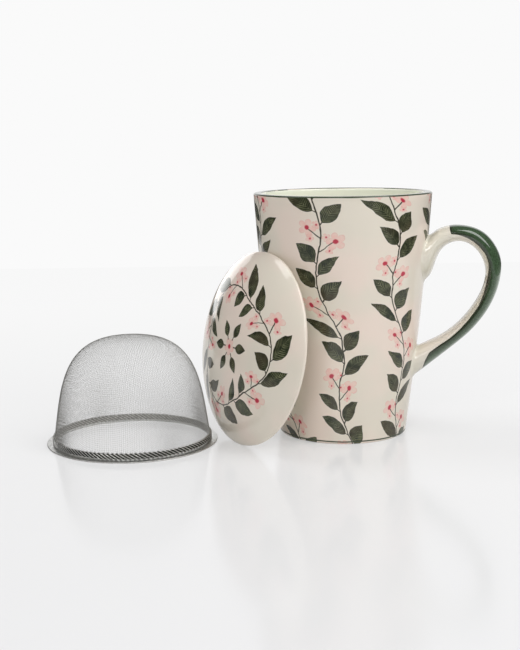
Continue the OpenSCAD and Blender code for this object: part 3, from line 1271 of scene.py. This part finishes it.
    def build(self) -> Piece:
        """Makes and dresses the strap.

        Returns:
            The piece.
        """
        rings, cover, painted_sheen = self.skin()
        points = self.luted(rings)
        count, n = rings.shape[:2]
        base = np.arange((count - 1) * n).reshape(count - 1, n)
        nxt = np.roll(base, -1, axis=1)
        faces = np.stack([base, nxt, nxt + n, base + n], 2).reshape(-1, 4).tolist()
        faces.append(list(range(n - 1, -1, -1)))
        faces.append(list(range((count - 1) * n, count * n)))
        finish = BrushedGreenGlaze().material(self.cover, self.painted_sheen)
        piece = mesh_piece("handle_strap_glazed", points, faces, [finish], crease=70)
        for name, values in ((self.cover, cover), (self.painted_sheen, painted_sheen)):
            attribute = piece.data.attributes.new(name, "FLOAT", "POINT")
            attribute.data.foreach_set("value", values.astype(np.float32).ravel())
        return join(piece, Body.MUG, Slot.GREEN_GLAZE, "handle")


# ---- the lid ----


@dataclass
class Lid:
    """The domed lid, with its flat seat and locating ring, leaning on the mug's wall."""

    radius: float = 47.0
    height: float = 13.6
    edge: float = 1.5
    thick: float = 4.2
    ring_r: float = 35.5
    ring_w: float = 3.0
    ring_h: float = 3.2
    dome_power: float = 2.184
    dome_rounding: float = 1 / 1.2
    lean: float = 10.06
    facing: float = 220.7
    bearing: float = 216.7
    distance: float = 50.3
    steps: int = 64
    under_steps: int = 24

    def dome_z(self, r: float) -> float:
        """Returns the height of the outer face above the seat at a radius."""
        share = max(0.0, 1 - (r / self.radius) ** self.dome_power)
        return self.edge + (self.height - self.edge) * share**self.dome_rounding

    def runs(self) -> list[Run]:
        """Draws the outline from the middle of the hollow to the middle of the dome.

        Returns:
            Its stretches: 0 painted outside, 1 glazed underside, 2 wiped seat.
        """
        ring_in = self.ring_r - self.ring_w
        tip, half = self.ring_w / 2, self.edge / 2
        under = np.linspace(0, ring_in, self.under_steps + 1).tolist()
        over = [self.radius * math.cos(math.pi / 2 * i / self.steps) for i in range(1, self.steps)]
        seat = [(self.ring_r, 0.0), ((self.ring_r + self.radius) / 2, 0.0)]
        return [
            Run([(r, self.dome_z(r) - self.thick) for r in under], 1),
            Run(arc((ring_in + tip, tip - self.ring_h), tip, tip, 180, 360, 12), 1),
            Run(seat, 2),
            Run(arc((self.radius - half, half), half, half, -90, 0, 8), 0),
            Run([(r, self.dome_z(r)) for r in over] + [(0.0, self.height)], 0),
        ]

    def place(self) -> Matrix:
        """Finds where the leaning lid's upright frame lies.

        Returns:
            Its place and turn, in metres.
        """
        lean = math.radians(self.lean)
        half = self.edge / 2
        middle_z = (self.radius - half) * math.cos(lean) + half - half * math.sin(lean)
        bearing = Matrix.Rotation(math.radians(self.bearing), 4, "Z")
        turn = Matrix.Rotation(math.radians(self.facing - self.bearing), 4, "Z")
        tip = Matrix.Rotation(math.radians(90 - self.lean), 4, "Y")
        return bearing @ Matrix.Translation(Vector((self.distance, 0, middle_z)) * MM) @ turn @ tip

    def build(self, vine: Tree, rosette: Tree, pitch: float) -> Piece:
        """Makes, dresses and leans the lid.

        Args:
            vine: the vine group, for its paint.
            rosette: the rosette group.
            pitch: the length of one of the vine's cells in mm.

        Returns:
            The piece.
        """
        finishes = [
            PaintedLidDome().material(vine, rosette, pitch, self.place()),
            ClearGlaze().plain("glazed_stoneware_ivory_underside", "F7F9E9"),
            BiscuitClay().material(),
        ]
        piece = turned("lid_glazed", self.runs(), finishes)
        piece.data.transform(self.place())
        return join(piece, Body.LID, Slot.CREAM_GLAZE, "lid")


# ---- the infuser ----


@dataclass
class Infuser:
    """The drop-in infuser, upside down on the table: a flange, a folded hem and a woven bowl."""

    height: float = 52.3
    mesh_r: float = 38.2
    taper: float = 6.8
    skin: float = 0.5
    flange_r: float = 41.85
    flange_t: float = 0.6
    hem_w: float = 0.9
    hem_h: float = 3.5
    straight: float = 4.3
    flatness: float = 4.0
    rounding: float = 0.345
    bearing: float = 199.8
    distance: float = 106.8
    # Such infusers have wires 0.4 to 0.5 mm apart, which would blur into a grey film here.
    wire_pitch: float = 0.9
    wire_d: float = 0.08
    weave_turn: float = 69.0
    hem_pitch: float = 2.2
    hem_wire_d: float = 0.48
    hem_slant: float = 1.6
    hem_steps: int = 40
    hem_rounding: float = 0.6
    # The run from the crown is tabled in fine steps, and on past the flange by this many mm.
    meridian_steps: int = 1500
    meridian_tail: float = 40.0
    meridian_power: float = 0.7
    newton_steps: int = 6
    edge_gap: float = 0.3

    def bowl_r(self, z: float) -> float:
        """Returns the bowl's outer radius at a height above the table."""
        u = max(0.0, z - self.straight) / (self.height - self.straight)
        return (self.mesh_r - self.taper * u) * max(0.0, 1 - u**self.flatness) ** self.rounding

    def place(self) -> Matrix:
        """Returns where the infuser's own frame lies, in metres."""
        bearing = Matrix.Rotation(math.radians(self.bearing), 4, "Z")
        return bearing @ Matrix.Translation(Vector((self.distance, 0, 0)) * MM)

    def settle(self, piece: Piece, slot: Slot, *nodes: str) -> Piece:
        """Puts a piece where the infuser lies and lets it ride with it."""
        piece.data.transform(self.place())
        return join(piece, Body.INFUSER, slot, *nodes)

    def flange(self) -> Piece:
        """Makes the stamped flange: bright on its faces, darker and duller on its sheared, rolled
        edge.

        Returns:
            The piece.
        """
        inner, half = self.mesh_r - self.skin, self.flange_t / 2
        edge = arc((self.flange_r - half, half), half, half, -90, 90, 10)
        runs = [
            Run([(inner, 0.0), edge[0]], 0),
            Run(edge[1:], 1),
            Run([(inner, self.flange_t), (inner, 0.0)], 0),
        ]
        steel = Stainless("E4E4E1", 0.34).material("stainless_sheet_polished")
        # The edge's darker grey is partly duller cut steel, partly painted shade along the flange's
        # rim.
        sheared = Stainless("D2D1CD", 0.45).material("stainless_sheet_sheared_edge_painted_shade")
        piece = turned("infuser_flange_polished", runs, [steel, sheared])
        return self.settle(piece, Slot.POLISHED_STEEL, "infuser_flange")

    def hem_section(self, inset: float) -> list[Point]:
        """Draws the hem's closed outline, from its top inside round and back.

        Args:
            inset: how far it is drawn in all round, in mm.

        Returns:
            The points.
        """
        r_round = self.hem_w * self.hem_rounding
        low, high = self.flange_t + inset, self.flange_t + self.hem_h - inset
        out, inside = self.mesh_r + self.hem_w - inset, self.mesh_r - self.skin + inset
        upper = arc((out - r_round, high - r_round), r_round, r_round, 90, 0, 6)
        lower = arc((out - r_round, low + r_round), r_round, r_round, 0, -90, 6)
        return [(inside, high), *upper, *lower, (inside, low), (inside, high)]

    def hem(self) -> Piece:
        """Makes the folded hem: a pressed core, wrapped in the wires of the folded weave.

        The wires slant, because the weave is folded askew. They are drawn four times as coarse as
        they are, so that the slant shows.

        Returns:
            The piece of the wires.
        """
        radius = self.hem_wire_d / 2
        core = self.hem_section(self.hem_wire_d)
        # The core's outside is painted dark steel, painted shade, and its inside pale, painted light.
        outside = Stainless("4A4945", 0.6).material("stainless_hem_core_painted_shade")
        inside = Stainless("CBCAC5", 0.65).material("stainless_hem_core_painted_light_inside")
        runs = [Run(core[:1], 1), Run(core[1:-1], 0)]
        piece = turned("infuser_hem_core", runs, [outside, inside])
        self.settle(piece, Slot.WOVEN_STEEL, "infuser_hem")

        path = np.array(self.hem_section(radius))
        run = np.concatenate([[0], np.cumsum(np.linalg.norm(np.diff(path, axis=0), axis=1))])
        places = np.linspace(0, run[-1], self.hem_steps)
        r, z = (np.interp(places, run, path[:, i]) for i in (0, 1))
        slope = np.stack([np.gradient(r), np.gradient(z)], 1)
        slope /= np.linalg.norm(slope, axis=1, keepdims=True)
        ends = self.mesh_r + self.hem_w
        count = int(TURN * ends / self.hem_pitch)
        lines = []
        for i in range(count):
            theta = TURN * i / count + self.hem_slant * places / ends
            cos, sin = np.cos(theta), np.sin(theta)
            normals = np.stack([-slope[:, 1] * cos, -slope[:, 1] * sin, slope[:, 0]], 1)
            lines.append((np.stack([r * cos, r * sin, z], 1), normals))
        # The wires on the hem's inside are painted paler than outside: painted light on the far side.
        finishes = [
            Stainless("E6E5E1", 0.4).material("stainless_wire_folded"),
            Stainless("F6F5F2", 0.6).material("stainless_hem_wire_painted_light_inside"),
        ]
        wires = mesh_piece("infuser_hem_wires", *tubes(lines, radius, 4), finishes, crease=180)
        centres = np.empty(3 * len(wires.data.polygons))
        wires.data.polygons.foreach_get("center", centres)
        far = np.hypot(centres[0::3], centres[1::3]) / MM
        inner = (far < self.mesh_r - self.skin + 2 * radius).astype(int)
        wires.data.polygons.foreach_set("material_index", inner)
        return self.settle(wires, Slot.WOVEN_STEEL)

    def meridian(self) -> tuple[np.ndarray, np.ndarray, np.ndarray]:
        """Tables the middle of the skin from the crown down.

        It is carried on straight past the flange, so that every wire can be followed to the end.

        Returns:
            The run from the crown, the radius and the height.
        """
        top = self.height - self.skin / 2
        fall = np.cos(np.linspace(0, 1, self.meridian_steps) * math.pi / 2)
        z = self.flange_t + (top - self.flange_t) * fall**self.meridian_power
        r = np.array([self.bowl_r(h * self.height / top) for h in z]) - self.skin / 2
        r = np.maximum(r, 0)
        r[0] = 0
        r, z = np.append(r, r[-1]), np.append(z, z[-1] - self.meridian_tail)
        run = np.concatenate([[0], np.cumsum(np.hypot(np.diff(r), np.diff(z)))])
        return run, r, z

    def net(self, on_skin: Callable[[np.ndarray], np.ndarray], reach: int) -> np.ndarray:
        """Follows the weave over the dome as cloth drapes: wires can turn against each other where
        they cross, but every mesh keeps its side length.

        Args:
            on_skin: takes points of the flat weave to points of the dome.
            reach: how many wires lie between the crown and the edge.

        Returns:
            The flat place of each crossing in a quarter of the weave, by wire and wire.
        """
        flat = np.full((reach + 1, reach + 1, 2), np.nan)
        steps = np.arange(reach + 1) * self.wire_pitch
        flat[:, 0] = np.stack([steps, 0 * steps], 1)
        flat[0, :] = np.stack([0 * steps, steps], 1)
        # Each crossing is found by Newton's method, a diagonal of the quarter at a time.
        h = 1e-4
        for total in range(2, 2 * reach + 1):
            i = np.arange(max(1, total - reach), min(reach, total - 1) + 1)
            j = total - i
            one, two = on_skin(flat[i - 1, j]), on_skin(flat[i, j - 1])
            guess = flat[i - 1, j] + flat[i, j - 1] - flat[i - 1, j - 1]
            for _ in range(self.newton_steps):
                miss, miss_x, miss_y = (
                    np.array([
                        np.linalg.norm(on_skin(guess + step) - end, axis=1) - self.wire_pitch
                        for end in (one, two)
                    ])
                    for step in ((0, 0), (h, 0), (0, h))
                )
                (a, c), (b, d) = (miss_x - miss) / h, (miss_y - miss) / h
                det = a * d - b * c
                det = np.where(np.abs(det) < TINY, np.nan, det)
                guess = guess - np.stack(
                    [d * miss[0] - b * miss[1], a * miss[1] - c * miss[0]] / det, 1
                )
            flat[i, j] = guess
        return flat

    def bowl(self) -> Piece:
        """Makes the woven bowl: a square weave drawn over the dome, wire over wire.

        Returns:
            The piece.
        """
        run, r, z = self.meridian()
        slope_r, slope_z = np.gradient(r), np.gradient(z)
        size = np.hypot(slope_r, slope_z)

        def on_skin(flat: np.ndarray) -> np.ndarray:
            """Takes points of the flat weave to the dome, each by its run from the crown.

            Args:
                flat: one row of two numbers per point.

            Returns:
                One row of three numbers per point.
            """
            far = np.maximum(np.hypot(flat[:, 0], flat[:, 1]), TINY)
            rr, zz = np.interp(far, run, r), np.interp(far, run, z)
            return np.stack([rr * flat[:, 0] / far, rr * flat[:, 1] / far, zz], 1)

        edge = run[-2] - self.edge_gap
        reach = int(edge / self.wire_pitch) + 1
        quarter = self.net(on_skin, reach)
        turn = math.radians(self.weave_turn)
        spin = np.array([[math.cos(turn), math.sin(turn)], [-math.sin(turn), math.cos(turn)]])
        lift = self.wire_d / 2
        every = np.arange(-reach, reach + 1)
        lines = []
        for family in (0, 1):
            for i in every:
                pair = (0 * every + i, every) if family == 0 else (every, 0 * every + i)
                flat = quarter[np.abs(pair[0]), np.abs(pair[1])] * np.sign(pair).T
                far = np.hypot(flat[:, 0], flat[:, 1])
                kept = far < edge
                if kept.sum() < 4:
                    continue
                flat, far, index = flat[kept] @ spin, np.maximum(far[kept], TINY), every[kept]
                out_r = -np.interp(far, run, slope_z / size)
                out_z = np.interp(far, run, slope_r / size)
                normals = np.stack([out_r * flat[:, 0] / far, out_r * flat[:, 1] / far, out_z], 1)
                normals /= np.linalg.norm(normals, axis=1, keepdims=True)
                over = np.where((index + i + family) % 2 == 0, lift, -lift)
                lines.append((on_skin(flat) + normals * over[:, None], normals))
        # The wire's grey is darker than the flange's steel: painted shade of the wires shading each
        # other.
        wire = Stainless("B4B3AF", 0.5).material("stainless_wire_woven_painted_shade")
        piece = mesh_piece("infuser_mesh_woven", *tubes(lines, self.wire_d / 2), [wire], crease=180)
        return self.settle(piece, Slot.WOVEN_STEEL, "infuser_mesh")

    def build(self) -> list[Piece]:
        """Makes all three pieces."""
        return [self.flange(), self.hem(), self.bowl()]


# ---- the studio ----


@dataclass(frozen=True)
class Lamp:
    """A soft box that faces the group, with its long side along a given way."""

    name: str
    place: tuple[float, float, float]
    sides: tuple[float, float]
    along: tuple[float, float, float]
    power: float
    flagged: bool = False


@dataclass
class Studio:
    """A glossy white table before a white ground, soft boxes and the camera."""

    eye: tuple[float, float, float] = (58.13, -569.12, 149.47)
    heading: float = 100.0
    pitch: float = 9.52
    roll: float = -0.77
    lens: float = 63.65
    table_front: float = 900.0
    table_back: float = 730.0
    table_half: float = 420.0
    table_white: str = "EDEDEE"
    seen_white: float = 0.956
    ground_y: tuple[float, float] = (-260.0, 460.0)
    ground_share: tuple[float, float] = (0.15, 1.0)
    # How bright the ground glows near the front and far off; the dimmer front is painted shade.
    ground_glow_with_painted_shade: tuple[float, float] = (0.85, 0.935)
    haze_mm: float = 250.0
    table_roughness: tuple[float, float] = (0.13, 0.17)
    fill_white: float = 0.37
    dark_side: float = 0.12
    # Cosines from the heading between which the surround turns white, and heights of directions.
    ahead: tuple[float, float] = (0.79, 0.87)
    above: tuple[float, float] = (-0.03, 0.01)
    target: tuple[float, float, float] = (-30.0, -10.0, 50.0)
    lamps: tuple[Lamp, ...] = field(default_factory=lambda: (
        Lamp("top_strip_softbox", (760.0, -295.0, 1200.0), (1400.0, 640.0), (0.8, -0.6, 0.0), 11.4),
        Lamp("front_softbox", (-100.0, -2450.0, 1400.0), (1000.0, 1000.0), (1.0, 0.0, 0.0), 18.5),
        Lamp("left_softbox", (-1200.0, 200.0, 1900.0), (900.0, 900.0), (0.0, 1.0, 0.0), 8.0),
        Lamp("back_softbox", (-970.0, 1240.0, 380.0), (680.0, 680.0), (0.8, 0.6, 0.0), 2.4, True),
    ))

    def camera(self) -> None:
        """Makes the camera."""
        data = bpy.data.cameras.new("studio_camera")
        data.lens = self.lens
        data.clip_start, data.clip_end = 0.01, 20.0
        camera = bpy.data.objects.new("studio_camera", data)
        bpy.context.scene.collection.objects.link(camera)
        aim = Euler((math.radians(90 - self.pitch), 0, math.radians(self.heading - 90))).to_matrix()
        tilt = Matrix.Rotation(math.radians(self.roll), 3, "Z")
        camera.matrix_world = Matrix.Translation(Vector(self.eye) * MM) @ (aim @ tilt).to_4x4()
        bpy.context.scene.camera = camera

    def light(self, lit: bpy.types.Collection) -> None:
        """Makes the soft boxes, each facing the middle of the group.

        Args:
            lit: what the flagged boxes shine on. Flags keep their light off the rest.
        """
        target = Vector(self.target)
        for lamp in self.lamps:
            data = bpy.data.lights.new(lamp.name, "AREA")
            data.shape = "RECTANGLE"
            data.size, data.size_y = (side * MM for side in lamp.sides)
            data.energy = lamp.power
            box = bpy.data.objects.new(lamp.name, data)
            box.visible_camera = False
            if lamp.flagged:
                box.light_linking.receiver_collection = lit
            bpy.context.scene.collection.objects.link(box)
            back = (Vector(lamp.place) - target).normalized()
            short = back.cross(Vector(lamp.along)).normalized()
            turn = Matrix((short.cross(back), short, back)).transposed().to_4x4()
            box.matrix_world = Matrix.Translation(Vector(lamp.place) * MM) @ turn

    def surround(self) -> None:
        """Makes the world: white where the camera looks, darker behind it, and even on the object."""
        world = bpy.data.worlds.new("white_surround")
        world.use_nodes = True
        tree = world.node_tree
        tree.nodes.clear()
        camera_ray, transmission_ray, glossy_ray = self.rays(tree)
        way = add(tree, "TexCoord", out="Generated")
        turn = math.radians(self.heading)
        front = (math.cos(turn), math.sin(turn), 0.0)
        facing = add(tree, "VectorMath.DOT_PRODUCT", way, front)
        bounds = (self.dark_side, self.seen_white)
        ahead = add(tree, "MapRange.SMOOTHSTEP", facing, *self.ahead, *bounds)
        up = add(tree, "SeparateXYZ", way).node.outputs["Z"]
        above = add(tree, "MapRange", up, *self.above)
        mirrored = add(tree, "Mix", above, self.dark_side, ahead)
        seen = add(tree, "Math.MAXIMUM", camera_ray, transmission_ray)
        level = add(tree, "Mix", glossy_ray, self.fill_white, mirrored)
        level = add(tree, "Mix", seen, level, self.seen_white)
        white = (1.0, 1.0, 1.0, 1.0)
        add(tree, "OutputWorld", add(tree, "Background", white, level))
        bpy.context.scene.world = world

    def rays(self, tree: Tree) -> list[Socket]:
        """Returns whether a ray is the camera's, has passed through something or was mirrored."""
        kinds = add(tree, "LightPath").node.outputs
        return [kinds[f"Is {kind} Ray"] for kind in ("Camera", "Transmission", "Glossy")]

    def table(self) -> None:
        """Makes the table top: a glossy white acrylic sheet, which mirrors the group faintly.

        Away from the group it runs into the white ground, for the eye and for mirrors.
        """
        material, tree, place = new_material("acrylic_sheet_gloss_white")
        haze = add(tree, "TexNoise", place, per_m(self.haze_mm), 2.0)
        gloss = {
            "Base Color": linear(self.table_white),
            "Roughness": add(tree, "MapRange", haze, *MOST, *self.table_roughness),
            "IOR": 1.49,
        }
        sheet = add(tree, "BsdfPrincipled", gloss)
        away = add(tree, "SeparateXYZ", place).node.outputs["Y"]
        near, far = (edge * MM for edge in self.ground_y)
        share = add(tree, "MapRange.SMOOTHSTEP", away, near, far, *self.ground_share)
        seen = reduce(lambda one, two: add(tree, "Math.MAXIMUM", one, two), self.rays(tree))
        share = add(tree, "Math.MULTIPLY", share, seen)
        # The ground glows dimmer towards the front: painted shade for the table darkening there.
        level = add(tree, "MapRange", away, near, 0.0, *self.ground_glow_with_painted_shade)
        ground = add(tree, "Emission", {"Strength": level})
        add(tree, "OutputMaterial", add(tree, "MixShader", share, sheet, ground))
        mesh = bpy.data.meshes.new("table_top")
        edge_x, back, front = self.table_half, self.table_back, -self.table_front
        corners = [(-edge_x, front, 0), (edge_x, front, 0), (edge_x, back, 0), (-edge_x, back, 0)]
        mesh.from_pydata([Vector(c) * MM for c in corners], [], [(0, 1, 2, 3)])
        mesh.materials.append(material)
        top = bpy.data.objects.new("table_top", mesh)
        top.rotation_euler = (0, 0, math.radians(self.heading - 90))
        bpy.context.scene.collection.objects.link(top)

    def build(self, lit: bpy.types.Collection) -> None:
        """Makes the whole studio.

        Args:
            lit: what the flagged boxes shine on.
        """
        self.camera()
        self.light(lit)
        self.surround()
        self.table()
        log.info("studio: camera, %d soft boxes, world and table", len(self.lamps))


def main() -> None:
    """Builds the studio and the pieces in order."""
    logging.basicConfig(level=logging.INFO, format="%(name)s: %(message)s", stream=sys.stdout)
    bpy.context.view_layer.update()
    flagged = bpy.data.collections.new("lit_by_back_softbox")
    Studio().build(flagged)
    leaf, blossom = LeafStroke().group(), Blossom().group()
    vine = Vine()
    vine_group = vine.group(leaf, blossom)
    mug = Mug()
    mug.build(vine_group)
    Handle(mug).build()
    lid = Lid().build(vine_group, Rosette().group(leaf, blossom), vine.pitch)
    flagged.objects.link(lid)
    Infuser().build()
    bpy.context.scene.view_settings.view_transform = "Standard"
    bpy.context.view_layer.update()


if __name__ == "__main__":
    main()
